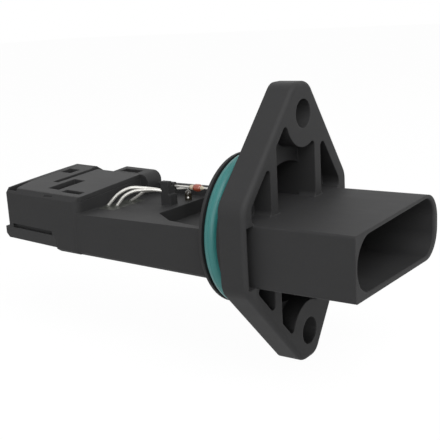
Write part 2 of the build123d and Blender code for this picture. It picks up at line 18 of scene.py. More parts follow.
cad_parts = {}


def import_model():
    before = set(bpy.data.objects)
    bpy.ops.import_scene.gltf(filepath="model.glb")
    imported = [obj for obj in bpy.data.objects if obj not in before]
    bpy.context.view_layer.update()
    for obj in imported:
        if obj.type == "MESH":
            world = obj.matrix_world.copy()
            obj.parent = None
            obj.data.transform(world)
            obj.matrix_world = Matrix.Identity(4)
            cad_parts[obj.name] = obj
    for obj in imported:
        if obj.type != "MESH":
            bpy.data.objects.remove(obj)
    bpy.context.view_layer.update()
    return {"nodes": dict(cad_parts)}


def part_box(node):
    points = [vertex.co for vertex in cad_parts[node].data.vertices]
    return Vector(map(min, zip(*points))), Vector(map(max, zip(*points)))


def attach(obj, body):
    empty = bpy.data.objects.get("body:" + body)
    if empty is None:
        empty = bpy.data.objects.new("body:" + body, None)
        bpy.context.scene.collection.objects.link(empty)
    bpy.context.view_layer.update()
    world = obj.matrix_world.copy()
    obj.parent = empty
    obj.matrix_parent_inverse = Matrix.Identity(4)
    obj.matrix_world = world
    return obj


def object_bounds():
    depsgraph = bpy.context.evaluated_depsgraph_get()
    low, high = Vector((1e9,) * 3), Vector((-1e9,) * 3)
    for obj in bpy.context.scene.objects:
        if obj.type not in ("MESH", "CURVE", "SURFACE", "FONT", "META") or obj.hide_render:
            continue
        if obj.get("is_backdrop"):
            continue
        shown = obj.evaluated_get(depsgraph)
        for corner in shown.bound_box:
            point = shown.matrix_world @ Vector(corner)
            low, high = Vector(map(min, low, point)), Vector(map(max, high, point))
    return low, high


MM = 0.001
BODY = "root"
LOG = logging.getLogger("airflow_sensor")

Pair = tuple[float, float]
Point = tuple[float, float, float]
Colour = tuple[float, float, float]

WHITE = (1.0, 1.0, 1.0, 1.0)
# The value that noise varies about
NOISE_MIDDLE = 0.5
# How far the rounded direction turns from the flat one where an edge starts and is full
EDGE_TURN = (0.02, 0.30)
EDGE_SAMPLES = 6
# A Mix node's colour sockets, by number
MIX_FIRST_COLOUR = 6
MIX_SECOND_COLOUR = 7
MIX_COLOUR_RESULT = 2


# Shader and geometry trees


class Channel:
    """A node's output that takes Python's operators, each of which adds a Math node."""

    def __init__(self, sheet: FinishSheet, socket: bpy.types.NodeSocket) -> None:
        """Keeps the sheet that the socket belongs to.

        Args:
            sheet: the shader tree that new nodes go into.
            socket: the output that this channel stands for.
        """
        self.sheet = sheet
        self.socket = socket

    def __add__(self, other: Value) -> Channel:
        """Sum."""
        return self.sheet.maths("ADD", self, other)

    __radd__ = __add__

    def __sub__(self, other: Value) -> Channel:
        """Difference."""
        return self.sheet.maths("SUBTRACT", self, other)

    def __rsub__(self, other: Value) -> Channel:
        """Difference with the channel on the right."""
        return self.sheet.maths("SUBTRACT", other, self)

    def __mul__(self, other: Value) -> Channel:
        """Product."""
        return self.sheet.maths("MULTIPLY", self, other)

    __rmul__ = __mul__

    def clamped(self) -> Channel:
        """The channel held between 0 and 1."""
        return self.sheet.node("ShaderNodeClamp", sockets={0: self})

    def ramp(self, low: float, high: float) -> Channel:
        """A smooth step from 0 at low to 1 at high.

        Args:
            low: the value that gives 0.
            high: the value that gives 1.

        Returns:
            The stepped channel.
        """
        settings = {"interpolation_type": "SMOOTHSTEP"}
        return self.sheet.node("ShaderNodeMapRange", settings, {0: self, 1: low, 2: high})


Value = Channel | float | int | Sequence[float]


def add_node(
    tree: bpy.types.NodeTree,
    kind: str,
    settings: dict[str, object] | None = None,
    sockets: dict[int | str, object] | None = None,
) -> bpy.types.Node:
    """Adds a node to a shader tree or a geometry tree.

    Args:
        tree: the tree.
        kind: the node's type.
        settings: its properties, set before its inputs.
        sockets: values, channels or outputs for its inputs, by name or number.

    Returns:
        The node.
    """
    made = tree.nodes.new(kind)
    for key, setting in (settings or {}).items():
        setattr(made, key, setting)
    for key, value in (sockets or {}).items():
        source = value.socket if isinstance(value, Channel) else value
        if isinstance(source, bpy.types.NodeSocket):
            tree.links.new(source, made.inputs[key])
        else:
            made.inputs[key].default_value = source
    return made


class FinishSheet:
    """The shader tree of a material or of the world."""

    def __init__(self, owner: bpy.types.Material | bpy.types.World) -> None:
        """Empties the owner's tree.

        Args:
            owner: the material or world that the tree dresses.
        """
        owner.use_nodes = True
        self.owner = owner
        self.tree = owner.node_tree
        self.tree.nodes.clear()

    def node(
        self,
        kind: str,
        settings: dict[str, object] | None = None,
        sockets: dict[int | str, Value] | None = None,
        out: int | str = 0,
    ) -> Channel:
        """Adds a node.

        Args:
            kind: the node's type.
            settings: its properties, set before its inputs.
            sockets: values or channels for its inputs, by name or number.
            out: the output to hand back.

        Returns:
            The chosen output as a channel.
        """
        return Channel(self, add_node(self.tree, kind, settings, sockets).outputs[out])

    def maths(self, operation: str, first: Value, second: Value) -> Channel:
        """A Math node on two numbers."""
        return self.node("ShaderNodeMath", {"operation": operation}, {0: first, 1: second})

    def place(self) -> Channel:
        """The point's own place on the object, in metres."""
        return self.node("ShaderNodeTexCoord", out="Object")

    def stretched(self, place: Channel, scale: Point) -> Channel:
        """A place scaled by a different factor on each axis."""
        return self.node("ShaderNodeVectorMath", {"operation": "MULTIPLY"}, {0: place, 1: scale})

    def noise(
        self, place: Channel, size: float, detail: float = 2.0, rough: float = 0.5
    ) -> Channel:
        """Noise whose blotches are about one size across.

        Args:
            place: where to read it.
            size: the blotches' size in millimetres.
            detail: how many finer layers are added.
            rough: how strong those layers are.

        Returns:
            A number that varies about NOISE_MIDDLE.
        """
        sockets = {"Vector": place, "Scale": 1 / (size * MM), "Detail": detail, "Roughness": rough}
        return self.node("ShaderNodeTexNoise", {"noise_dimensions": "3D"}, sockets, "Fac")

    def grains(self, place: Channel, size: float) -> Channel:
        """Distance from the nearest of many scattered grains."""
        sockets = {"Vector": place, "Scale": 1 / (size * MM)}
        return self.node("ShaderNodeTexVoronoi", {"feature": "F1"}, sockets, "Distance")

    def blend(self, share: Channel, first: Colour, second: Colour) -> Channel:
        """A colour between two others.

        Args:
            share: 0 for the first, 1 for the second.
            first: the first colour.
            second: the second colour.

        Returns:
            The blended colour.
        """
        sockets: dict[int | str, Value] = {
            0: share,
            MIX_FIRST_COLOUR: (*first, 1.0),
            MIX_SECOND_COLOUR: (*second, 1.0),
        }
        return self.node("ShaderNodeMix", {"data_type": "RGBA"}, sockets, MIX_COLOUR_RESULT)

    def rounded_normal(self, radius: float) -> Channel:
        """The surface direction as if edges were rounded by a radius in millimetres."""
        return self.node("ShaderNodeBevel", {"samples": EDGE_SAMPLES}, {"Radius": radius * MM})

    def edge_mask(self, rounded: Channel) -> Channel:
        """Where the rounded direction leaves the flat one.

        Args:
            rounded: the rounded direction.

        Returns:
            1 on an edge and 0 away from it.
        """
        flat = self.node("ShaderNodeNewGeometry", out="Normal")
        sockets = {0: rounded, 1: flat}
        along = self.node("ShaderNodeVectorMath", {"operation": "DOT_PRODUCT"}, sockets, "Value")
        return (1.0 - along).ramp(*EDGE_TURN)

    def bump(self, height: Channel, depth: float, normal: Channel | None = None) -> Channel:
        """Relief of a depth in millimetres.

        Args:
            height: the relief's shape, from 0 to 1.
            depth: the height difference that 0 to 1 stands for.
            normal: the direction that the relief is laid on.

        Returns:
            The new surface direction.
        """
        sockets: dict[int | str, Value] = {
            "Strength": 1.0,
            "Distance": depth * MM,
            "Height": height,
        }
        if normal is not None:
            sockets["Normal"] = normal
        return self.node("ShaderNodeBump", sockets=sockets)

    def background_rays(self) -> Channel:
        """1 for rays from the camera, off a glossy surface or through glass, 0 for the others."""
        kinds = ("Is Camera Ray", "Is Glossy Ray", "Is Transmission Ray")
        camera, glossy, through = (self.node("ShaderNodeLightPath", out=kind) for kind in kinds)
        return (camera + glossy + through).clamped()

    def surface(self, **sockets: Value) -> bpy.types.Material:
        """Ends the tree in a Principled surface.

        Args:
            sockets: input names with underscores for spaces, and their values or channels.

        Returns:
            The finished material.
        """
        named = {key.replace("_", " "): value for key, value in sockets.items()}
        return self.ended(self.node("ShaderNodeBsdfPrincipled", sockets=named))

    def ended(self, shader: Channel) -> bpy.types.Material:
        """Ends the tree in a shader and hands the material back."""
        add_node(self.tree, "ShaderNodeOutputMaterial", sockets={"Surface": shader})
        return self.owner


@dataclass
class DetailTree:
    """A Geometry Nodes tree with named sizes, turned into a plain mesh."""

    name: str
    sizes: dict[str, float]

    def __post_init__(self) -> None:
        """Makes the tree, its start and its inputs."""
        self.tree = bpy.data.node_groups.new(self.name, "GeometryNodeTree")
        add = self.tree.interface.new_socket
        add("Geometry", in_out="OUTPUT", socket_type="NodeSocketGeometry")
        add("Start", in_out="INPUT", socket_type="NodeSocketGeometry")
        add("Finish", in_out="INPUT", socket_type="NodeSocketMaterial")
        for size, value in self.sizes.items():
            add(size, in_out="INPUT", socket_type="NodeSocketFloat").default_value = value * MM
        self.start = self.tree.nodes.new("NodeGroupInput")

    def given(self, name: str) -> bpy.types.NodeSocket:
        """One of the tree's inputs, by name."""
        return self.start.outputs[name]

    def node(
        self,
        kind: str,
        settings: dict[str, object] | None = None,
        sockets: dict[int | str, object] | None = None,
    ) -> bpy.types.NodeSocket:
        """Adds a node.

        Args:
            kind: the node's type.
            settings: its properties, set before its inputs.
            sockets: values or outputs for its inputs, by name or number.

        Returns:
            Its first output.
        """
        return add_node(self.tree, kind, settings, sockets).outputs[0]

    def finish(self, shape: bpy.types.NodeSocket) -> None:
        """Ends the tree: instances made real, and the material set.

        Args:
            shape: the geometry so far.
        """
        real = self.node("GeometryNodeRealizeInstances", sockets={0: shape})
        sockets = {"Geometry": real, "Material": self.given("Finish")}
        dressed = self.node("GeometryNodeSetMaterial", sockets=sockets)
        add_node(self.tree, "NodeGroupOutput", sockets={0: dressed})

    def piece(self, start: bpy.types.Mesh, material: bpy.types.Material) -> bpy.types.Object:
        """Runs the tree on a start mesh and keeps the result as a plain mesh.

        Args:
            start: points or edges that the detail sits on.
            material: the finish for all of it.

        Returns:
            The new piece, named as the tree.
        """
        host = linked(bpy.data.objects.new(f"{self.name}_start", start))
        modifier = host.modifiers.new("detail", "NODES")
        modifier.node_group = self.tree
        for item in self.tree.interface.items_tree:
            if item.item_type == "SOCKET" and item.in_out == "INPUT":
                if item.name == "Finish":
                    modifier[item.identifier] = material
                elif item.name in self.sizes:
                    modifier[item.identifier] = self.sizes[item.name] * MM
        evaluated = host.evaluated_get(bpy.context.evaluated_depsgraph_get())
        mesh = bpy.data.meshes.new_from_object(evaluated)
        host.modifiers.remove(modifier)
        bpy.data.objects.remove(host)
        mesh.name = self.name
        return linked(bpy.data.objects.new(self.name, mesh))


# Mesh helpers


def linked(thing: bpy.types.Object) -> bpy.types.Object:
    """Puts an object in the scene and hands it back."""
    bpy.context.scene.collection.objects.link(thing)
    return thing


def points_mesh(name: str, points: Iterable[Point], closed_path: bool = False) -> bpy.types.Mesh:
    """Loose points, or a closed path through them, given in millimetres.

    Args:
        name: the mesh's name.
        points: the places.
        closed_path: True to join them into a ring of edges.

    Returns:
        The mesh, in metres.
    """
    places = [tuple(MM * value for value in point) for point in points]
    count = len(places)
    edges = [(number, (number + 1) % count) for number in range(count)] if closed_path else []
    mesh = bpy.data.meshes.new(name)
    mesh.from_pydata(places, edges, [])
    return mesh


def lathe(
    name: str, profile: Sequence[Pair], origin: Point, axis: Point, steps: int = 32
) -> bpy.types.Object:
    """A closed turned shape whose profile starts and ends on its axis.

    Args:
        name: the piece's name.
        profile: pairs of distance along the axis and radius, in millimetres.
        origin: where the axis starts.
        axis: its direction.
        steps: how many sides it has.

    Returns:
        The piece, smooth shaded.
    """
    turn = Vector(axis).to_track_quat("Z", "Y").to_matrix().to_4x4()
    move = Matrix.Translation(Vector(origin) * MM) @ turn
    form = bmesh.new()
    rings = []
    for along, radius in profile:
        if radius == 0:
            rings.append([form.verts.new(move @ Vector((0, 0, along * MM)))])
            continue
        ring = []
        for step in range(steps):
            angle = math.tau * step / steps
            spot = (radius * math.cos(angle), radius * math.sin(angle), along)
            ring.append(form.verts.new(move @ (Vector(spot) * MM)))
        rings.append(ring)
    for low, high in zip(rings, rings[1:]):
        for step in range(steps):
            following = (step + 1) % steps
            corners = [low[step % len(low)], low[following % len(low)]]
            corners += [high[following % len(high)], high[step % len(high)]]
            form.faces.new(list(dict.fromkeys(corners)))
    bmesh.ops.recalc_face_normals(form, faces=form.faces)
    mesh = bpy.data.meshes.new(name)
    form.to_mesh(mesh)
    form.free()
    mesh.shade_smooth()
    return linked(bpy.data.objects.new(name, mesh))


def rounded_ring(x_span: Pair, y_span: Pair, corner: float, steps: int = 6) -> list[Pair]:
    """A rectangle's outline with round corners.

    Args:
        x_span: its ends along the first direction.
        y_span: its ends along the second.
        corner: the corner radius.
        steps: how many runs each corner is made of.

    Returns:
        The outline's points in order.
    """
    centres = (
        (x_span[1] - corner, y_span[1] - corner),
        (x_span[0] + corner, y_span[1] - corner),
        (x_span[0] + corner, y_span[0] + corner),
        (x_span[1] - corner, y_span[0] + corner),
    )
    outline = []
    for quarter, (x, y) in enumerate(centres):
        for step in range(steps + 1):
            angle = math.pi / 2 * (quarter + step / steps)
            outline.append((x + corner * math.cos(angle), y + corner * math.sin(angle)))
    return outline


def bead_along(
    name: str, path: Iterable[Point], radius: float, material: bpy.types.Material, sides: int = 8
) -> bpy.types.Object:
    """A round bead that follows a closed path.

    Args:
        name: the piece's name.
        path: the path's points in millimetres.
        radius: the bead's radius.
        material: its finish.
        sides: how many sides its section has.

    Returns:
        The bead.
    """
    tree = DetailTree(name, {"Radius": radius})
    curve = tree.node("GeometryNodeMeshToCurve", sockets={"Mesh": tree.given("Start")})
    sockets = {"Resolution": sides, "Radius": tree.given("Radius")}
    section = tree.node("GeometryNodeCurvePrimitiveCircle", sockets=sockets)
    sockets = {"Curve": curve, "Profile Curve": section, "Fill Caps": True}
    tree.finish(tree.node("GeometryNodeCurveToMesh", sockets=sockets))
    return tree.piece(points_mesh(f"{name}_path", path, closed_path=True), material)


# Finishes


@dataclass(frozen=True)
class MouldedPlastic:
    """Dark glass-filled plastic with a fine spark texture from the mould.

    The sizes are those of its grain and blotches. The tones say how far each of them pulls the
    colour towards the lighter colour, and the hazes how far each changes the roughness. The edge
    tone is a painted highlight: every edge and inner corner is lightened in the colour as if it
    caught the light, while the cloud and fleck tones are the plastic's own random tone.
    """

    name: str
    colour: Colour
    # Lighter colour: the target of the plastic's random tone and of the painted edge highlight
    mottle_and_edge_highlight: Colour
    roughness: float
    specular: float = 0.28
    edge_round: float = 0.35
    grain_size: float = 0.22
    grain_layers: float = 3.0
    grain_strength: float = 0.6
    grain_depth: float = 0.012
    cloud_size: float = 9.0
    cloud_layers: float = 3.0
    fleck_size: float = 0.6
    flow_size: float = 2.5
    flow_stretch: Point = (0.25, 1.0, 1.0)
    base_tone: float = 0.10
    # Painted highlight: how far edges and inner corners are lightened in the colour
    edge_highlight_tone: float = 0.45
    cloud_tone: float = 0.35
    fleck_tone: float = 0.20
    cloud_haze: float = 0.10
    flow_haze: float = 0.06
    edge_haze: float = -0.06

    def material(self) -> bpy.types.Material:
        """Builds the material.

        Returns:
            The finished material.
        """
        sheet = FinishSheet(bpy.data.materials.new(self.name))
        place = sheet.place()
        rounded = sheet.rounded_normal(self.edge_round)
        edge = sheet.edge_mask(rounded)
        cloud = sheet.noise(place, self.cloud_size, self.cloud_layers) - NOISE_MIDDLE
        fleck = sheet.noise(place, self.fleck_size) - NOISE_MIDDLE
        flow = sheet.noise(sheet.stretched(place, self.flow_stretch), self.flow_size) - NOISE_MIDDLE
        grain = sheet.noise(place, self.grain_size, self.grain_layers, self.grain_strength)
        # Painted edge highlight plus the plastic's own random tone, mixed into the base colour
        mottle_and_highlight = edge * self.edge_highlight_tone + cloud * self.cloud_tone + fleck * self.fleck_tone
        haze = cloud * self.cloud_haze + flow * self.flow_haze + edge * self.edge_haze
        return sheet.surface(
            Base_Color=sheet.blend((mottle_and_highlight + self.base_tone).clamped(), self.colour, self.mottle_and_edge_highlight),
            Roughness=haze + self.roughness,
            Normal=sheet.bump(grain, self.grain_depth, rounded),
            Specular_IOR_Level=self.specular,
        )


@dataclass(frozen=True)
class SealRubber:
    """Teal moulded rubber with a faint bloom."""

    name: str
    colour: Colour
    bloom: Colour
    roughness: float = 0.42
    cloud_size: float = 5.0
    cloud_layers: float = 3.0
    cloud_middle: float = 0.42
    cloud_tone: float = 0.9
    cloud_haze: float = 0.20
    fleck_size: float = 0.5
    fleck_layers: float = 3.0
    fleck_strength: float = 0.6
    fleck_tone: float = 0.4
    skin_size: float = 0.18
    skin_depth: float = 0.006

    def material(self) -> bpy.types.Material:
        """Builds the material.

        Returns:
            The finished material.
        """
        sheet = FinishSheet(bpy.data.materials.new(self.name))
        place = sheet.place()
        cloud = sheet.noise(place, self.cloud_size, self.cloud_layers)
        fleck = sheet.noise(place, self.fleck_size, self.fleck_layers, self.fleck_strength)
        skin = sheet.noise(place, self.skin_size)
        bloom = (cloud - self.cloud_middle) * self.cloud_tone
        bloom += (fleck - NOISE_MIDDLE) * self.fleck_tone
        return sheet.surface(
            Base_Color=sheet.blend(bloom.clamped(), self.colour, self.bloom),
            Roughness=self.roughness + (cloud - NOISE_MIDDLE) * self.cloud_haze,
            Normal=sheet.bump(skin, self.skin_depth),
        )


class MetalKind(Enum):
    """How a metal's surface was worked. The value scales its streaks on each axis."""

    TINNED = (1.0, 1.0, 1.0)
    PLATED = (0.08, 1.0, 1.0)
    ROLLED = (1.0, 0.05, 1.0)


@dataclass(frozen=True)
class WorkedMetal:
    """Bare or plated metal with streaks along its working direction."""

    name: str
    kind: MetalKind
    colour: Colour
    dull: Colour
    roughness: float
    metallic: float = 0.96
    dull_loss: float = 0.08
    dull_span: Pair = (0.35, 0.70)
    streak_size: float = 0.16
    streak_tone: float = 0.3
    streak_haze: float = 0.18
    streak_depth: float = 0.004
    cloud_size: float = 1.6
    cloud_tone: float = 0.7
    cloud_haze: float = 0.12

    def material(self) -> bpy.types.Material:
        """Builds the material.

        Returns:
            The finished material.
        """
        sheet = FinishSheet(bpy.data.materials.new(self.name))
        place = sheet.place()
        streak = sheet.noise(sheet.stretched(place, self.kind.value), self.streak_size)
        cloud = sheet.noise(place, self.cloud_size)
        dull = (cloud * self.cloud_tone + streak * self.streak_tone).ramp(*self.dull_span)
        haze = (streak - NOISE_MIDDLE) * self.streak_haze + (cloud - NOISE_MIDDLE) * self.cloud_haze
        return sheet.surface(
            Base_Color=sheet.blend(dull, self.colour, self.dull),
            Roughness=haze + self.roughness,
            Metallic=self.metallic - dull * self.dull_loss,
            Normal=sheet.bump(streak, self.streak_depth),
        )


@dataclass(frozen=True)
class FiredCeramic:
    """Pale fired ceramic with a fine granular skin."""

    name: str
    colour: Colour
    shade: Colour
    roughness: float = 0.38
    cloud_size: float = 2.5
    cloud_tone: float = 0.6
    grain_size: float = 0.15
    grain_tone: float = 0.4
    grain_middle: float = 0.4
    grain_haze: float = 0.2
    grain_depth: float = 0.003

    def material(self) -> bpy.types.Material:
        """Builds the material.

        Returns:
            The finished material.
        """
        sheet = FinishSheet(bpy.data.materials.new(self.name))
        place = sheet.place()
        cloud = sheet.noise(place, self.cloud_size)
        grain = sheet.grains(place, self.grain_size)
        share = (cloud * self.cloud_tone + grain * self.grain_tone).clamped()
        return sheet.surface(
            Base_Color=sheet.blend(share, self.colour, self.shade),
            Roughness=self.roughness + (grain - self.grain_middle) * self.grain_haze,
            Normal=sheet.bump(grain, self.grain_depth),
        )


@dataclass(frozen=True)
class CastResin:
    """Poured or dipped resin: a smooth skin with slow waves, and a clear coat where glossy."""

    name: str
    colour: Colour
    shade: Colour
    roughness: float
    coat: float = 0.0
    wave_size: float = 1.2
    wave_depth: float = 0.03
    wave_tone: float = 0.8
    speck_size: float = 0.2
    speck_tone: float = 0.3
    speck_haze: float = 0.15
    base_tone: float = -0.05

    def material(self) -> bpy.types.Material:
        """Builds the material.

        Returns:
            The finished material.
        """
        sheet = FinishSheet(bpy.data.materials.new(self.name))
        place = sheet.place()
        wave = sheet.noise(place, self.wave_size)
        speck = sheet.noise(place, self.speck_size)
        share = (wave * self.wave_tone + speck * self.speck_tone + self.base_tone).clamped()
        return sheet.surface(
            Base_Color=sheet.blend(share, self.colour, self.shade),
            Roughness=self.roughness + (speck - NOISE_MIDDLE) * self.speck_haze,
            Coat_Weight=self.coat,
            Normal=sheet.bump(wave, self.wave_depth),
        )


@dataclass(frozen=True)
class Finishes:
    """Every finish on the sensor."""

    housing: MouldedPlastic = MouldedPlastic(
        name="housing_plastic",
        colour=(0.020, 0.020, 0.0205),
        mottle_and_edge_highlight=(0.040, 0.040, 0.041),
        roughness=0.66,
    )
    cover: MouldedPlastic = MouldedPlastic(
        name="cover_plastic",
        colour=(0.024, 0.024, 0.0245),
        mottle_and_edge_highlight=(0.042, 0.042, 0.043),
        roughness=0.62,
    )
    seal: SealRubber = SealRubber(
        name="seal_rubber",
        colour=(0.026, 0.188, 0.180),
        bloom=(0.056, 0.262, 0.250),
    )
    lead: WorkedMetal = WorkedMetal(
        name="tinned_lead",
        kind=MetalKind.TINNED,
        colour=(0.70, 0.69, 0.65),
        dull=(0.56, 0.55, 0.52),
        roughness=0.42,
        metallic=0.62,
    )
    terminal: WorkedMetal = WorkedMetal(
        name="plated_terminal",
        kind=MetalKind.PLATED,
        colour=(0.83, 0.75, 0.52),
        dull=(0.66, 0.57, 0.36),
        roughness=0.26,
    )
    plate: WorkedMetal = WorkedMetal(
        name="rolled_plate",
        kind=MetalKind.ROLLED,
        colour=(0.76, 0.77, 0.79),
        dull=(0.60, 0.61, 0.63),
        roughness=0.34,
    )
    ceramic: FiredCeramic = FiredCeramic(
        name="fired_ceramic",
        colour=(0.82, 0.81, 0.77),
        shade=(0.70, 0.69, 0.65),
    )
    compound: CastResin = CastResin(
        name="cast_compound",
        colour=(0.032, 0.034, 0.030),
        shade=(0.060, 0.063, 0.053),
        roughness=0.40,
    )
    chip: CastResin = CastResin(
        name="chip_body",
        colour=(0.020, 0.020, 0.022),
        shade=(0.040, 0.040, 0.042),
        roughness=0.5,
    )
    capacitor: CastResin = CastResin(
        name="capacitor_body",
        colour=(0.34, 0.23, 0.14),
        shade=(0.26, 0.17, 0.10),
        roughness=0.35,
        coat=0.2,
        wave_size=0.8,
        wave_depth=0.004,
    )
    film: CastResin = CastResin(
        name="sensing_film",
        colour=(0.13, 0.16, 0.25),
        shade=(0.22, 0.22, 0.24),
        roughness=0.18,
        coat=0.6,
        wave_size=0.5,
        wave_depth=0.002,
    )
    bead: CastResin = CastResin(
        name="bead_glass",
        colour=(0.42, 0.095, 0.045),
        shade=(0.28, 0.055, 0.030),
        roughness=0.20,
        coat=0.7,
        wave_size=0.7,
        wave_depth=0.02,
    )
    joint: CastResin = CastResin(
        name="joint_resin",
        colour=(0.030, 0.024, 0.015),
        shade=(0.016, 0.013, 0.009),
        roughness=0.30,
        coat=0.3,
        wave_size=0.6,
        wave_depth=0.04,
    )
    collar: CastResin = CastResin(
        name="collar_resin",
        colour=(0.62, 0.55, 0.42),
        shade=(0.52, 0.45, 0.33),
        roughness=0.45,
        wave_size=0.5,
        wave_depth=0.02,
    )


class Dresser:
    """Gives nodes and new pieces their finish, and new pieces their body."""

    def __init__(self, nodes: dict[str, bpy.types.Object], finishes: Finishes) -> None:
        """Keeps the frame's nodes and the finishes.

        Args:
            nodes: the CAD nodes by name.
            finishes: every finish on the sensor.
        """
        self.nodes = nodes
        self.finishes = finishes
        self.made: dict[str, bpy.types.Material] = {}

    def material(self, finish: str) -> bpy.types.Material:
        """The material of a finish, built the first time that it is asked for.

        Args:
            finish: a field of Finishes.

        Returns:
            The material.
        """
        if finish not in self.made:
            self.made[finish] = getattr(self.finishes, finish).material()
        return self.made[finish]

    def node(self, name: str, finish: str) -> None:
        """Gives a CAD node its finish.

        Args:
            name: the node.
            finish: a field of Finishes.
        """
        mesh = self.nodes[name].data
        mesh.materials.clear()
        mesh.materials.append(self.material(finish))
        LOG.info("dressed %s in %s", name, finish)

    def piece(self, piece: bpy.types.Object, finish: str, slot: str) -> None:
        """Gives a new piece its finish, and makes it part of the object.

        Args:
            piece: the piece.
            finish: a field of Finishes.
            slot: not used.
        """
        if not piece.data.materials:
            piece.data.materials.append(self.material(finish))
        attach(piece, BODY)
        LOG.info("made %s: %d faces", piece.name, len(piece.data.polygons))


# Sub-assemblies


@dataclass(frozen=True)
class Housing:
    """The one-piece moulding and the marks that its mould leaves."""

    mark_radius: float = 0.9
    mark_height: float = 0.05
    mark_sides: int = 28
    mark_places: tuple[Point, ...] = (
        (2.0, -16.8, 10.2), (2.0, -7.5, 17.4), (2.0, 11.2, 11.6), (-4.4, -2.8, 11.2),
        (2.0, -16.6, -9.2), (2.0, -8.4, -16.6), (2.0, 11.2, -10.4), (-4.4, -2.8, -11.2),
    )

    def build(self, dresser: Dresser) -> None:
        """Dresses the moulding and adds the ejector marks in its pockets.

        Args:
            dresser: gives finishes and bodies.
        """
        dresser.node("housing", "housing")
        dresser.piece(self.ejector_marks(dresser), "housing", "housing_plastic")

    def ejector_marks(self, dresser: Dresser) -> bpy.types.Object:
        """Low round pads where the ejector pins pushed.

        Args:
            dresser: gives the finish.

        Returns:
            All of the pads as one piece.
        """
        tree = DetailTree("ejector_marks", {"Radius": self.mark_radius, "Height": self.mark_height})
        pad_sockets = {
            "Vertices": self.mark_sides,
            "Radius": tree.given("Radius"),
            "Depth": tree.given("Height"),
        }
        pad = tree.node("GeometryNodeMeshCylinder", {"fill_type": "NGON"}, pad_sockets)
        upright_to_x = (0, math.pi / 2, 0)
        sockets = {"Points": tree.given("Start"), "Instance": pad, "Rotation": upright_to_x}
        tree.finish(tree.node("GeometryNodeInstanceOnPoints", sockets=sockets))
        starts = points_mesh("ejector_places", self.mark_places)
        return tree.piece(starts, dresser.material("housing"))


@dataclass(frozen=True)
class Seal:
    """The rubber ring and the thin flash line round it."""

    flash_radius: float = 0.09
    flash_sunk_share: float = 0.5
    path_points: int = 160

    def build(self, dresser: Dresser) -> None:
        """Dresses the ring and adds its flash line.

        Args:
            dresser: gives finishes and bodies.
        """
        dresser.node("seal_ring", "seal")
        dresser.piece(self.flash_line(dresser), "seal", "seal_rubber")

    def flash_line(self, dresser: Dresser) -> bpy.types.Object:
        """The line left where the mould's halves met, round the ring's outside.

        Args:
            dresser: gives the finish.

        Returns:
            The line as a closed ring.
        """
        low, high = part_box("seal_ring")
        radius = (high.z - low.z) / 2 / MM - self.flash_sunk_share * self.flash_radius
        centre_x = (low.x + high.x) / 2 / MM
        angles = [math.tau * step / self.path_points for step in range(self.path_points)]
        path = [(centre_x, radius * math.cos(turn), radius * math.sin(turn)) for turn in angles]
        return bead_along("seal_flash", path, self.flash_radius, dresser.material("seal"))


@dataclass(frozen=True)
class Covers:
    """The plates over and under the probe, and the sealing bead round the circuit cover."""

    bead_radius: float = 0.16
    bead_inset: float = 0.03
    corner: float = 0.6
    tip_zone: float = 1.0

    def build(self, dresser: Dresser) -> None:
        """Dresses the plates and adds the bead.

        Args:
            dresser: gives finishes and bodies.
        """
        for name in ("channel_cover", "channel_base", "circuit_cover"):
            dresser.node(name, "cover")
        dresser.piece(self.sealing_bead(dresser), "compound", "compound")

    def sealing_bead(self, dresser: Dresser) -> bpy.types.Object:
        """Compound that stands a little out of the joint round the circuit cover.

        Args:
            dresser: gives the finish.

        Returns:
            The bead.
        """
        low, high = (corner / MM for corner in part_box("circuit_cover"))
        corners = [vertex.co / MM for vertex in dresser.nodes["circuit_cover"].data.vertices]
        tip_z = min(corner.z for corner in corners if corner.x < low.x + self.tip_zone)
        slope = (low.z - tip_z) / (high.x - low.x)
        outline = rounded_ring((low.x, high.x), (low.y, high.y), self.corner)
        path = [(x, y, tip_z + slope * (x - low.x) + self.bead_inset) for x, y in outline]
        return bead_along("cover_bead", path, self.bead_radius, dresser.material("compound"))


@dataclass(frozen=True)
class Leads:
    """The three tinned leads, their compound and the climb of compound up each lead."""

    feet: tuple[Pair, ...] = ((-47.0, -5.9), (-44.55, -5.35), (-45.45, 1.15))
    lead_radius: float = 0.40
    compound_top: float = 3.0
    climb_radius: float = 0.90
    climb_height: float = 0.5
    climb_sink: float = 0.05
    climb_sides: int = 28

    def build(self, dresser: Dresser) -> None:
        """Dresses the leads and compound, and adds the climbs.

        Args:
            dresser: gives finishes and bodies.
        """
        for number in range(1, len(self.feet) + 1):
            dresser.node(f"lead_{number}", "lead")
        dresser.node("lead_compound", "compound")
        dresser.piece(self.climbs(dresser), "compound", "compound")

    def climbs(self, dresser: Dresser) -> bpy.types.Object:
        """Small cones of compound round the foot of each lead.

        Args:
            dresser: gives the finish.

        Returns:
            All of the cones as one piece.
        """
        sizes = {
            "Foot radius": self.climb_radius,
            "Top radius": self.lead_radius,
            "Height": self.climb_height,
        }
        tree = DetailTree("lead_feet", sizes)
        cone_sockets = {
            "Vertices": self.climb_sides,
            "Radius Top": tree.given("Top radius"),
            "Radius Bottom": tree.given("Foot radius"),
            "Depth": tree.given("Height"),
        }
        cone = tree.node("GeometryNodeMeshCone", {"fill_type": "NGON"}, cone_sockets)
        sockets = {"Points": tree.given("Start"), "Instance": cone}
        tree.finish(tree.node("GeometryNodeInstanceOnPoints", sockets=sockets))
        places = [(x, y, self.compound_top - self.climb_sink) for x, y in self.feet]
        return tree.piece(points_mesh("lead_feet_places", places), dresser.material("compound"))


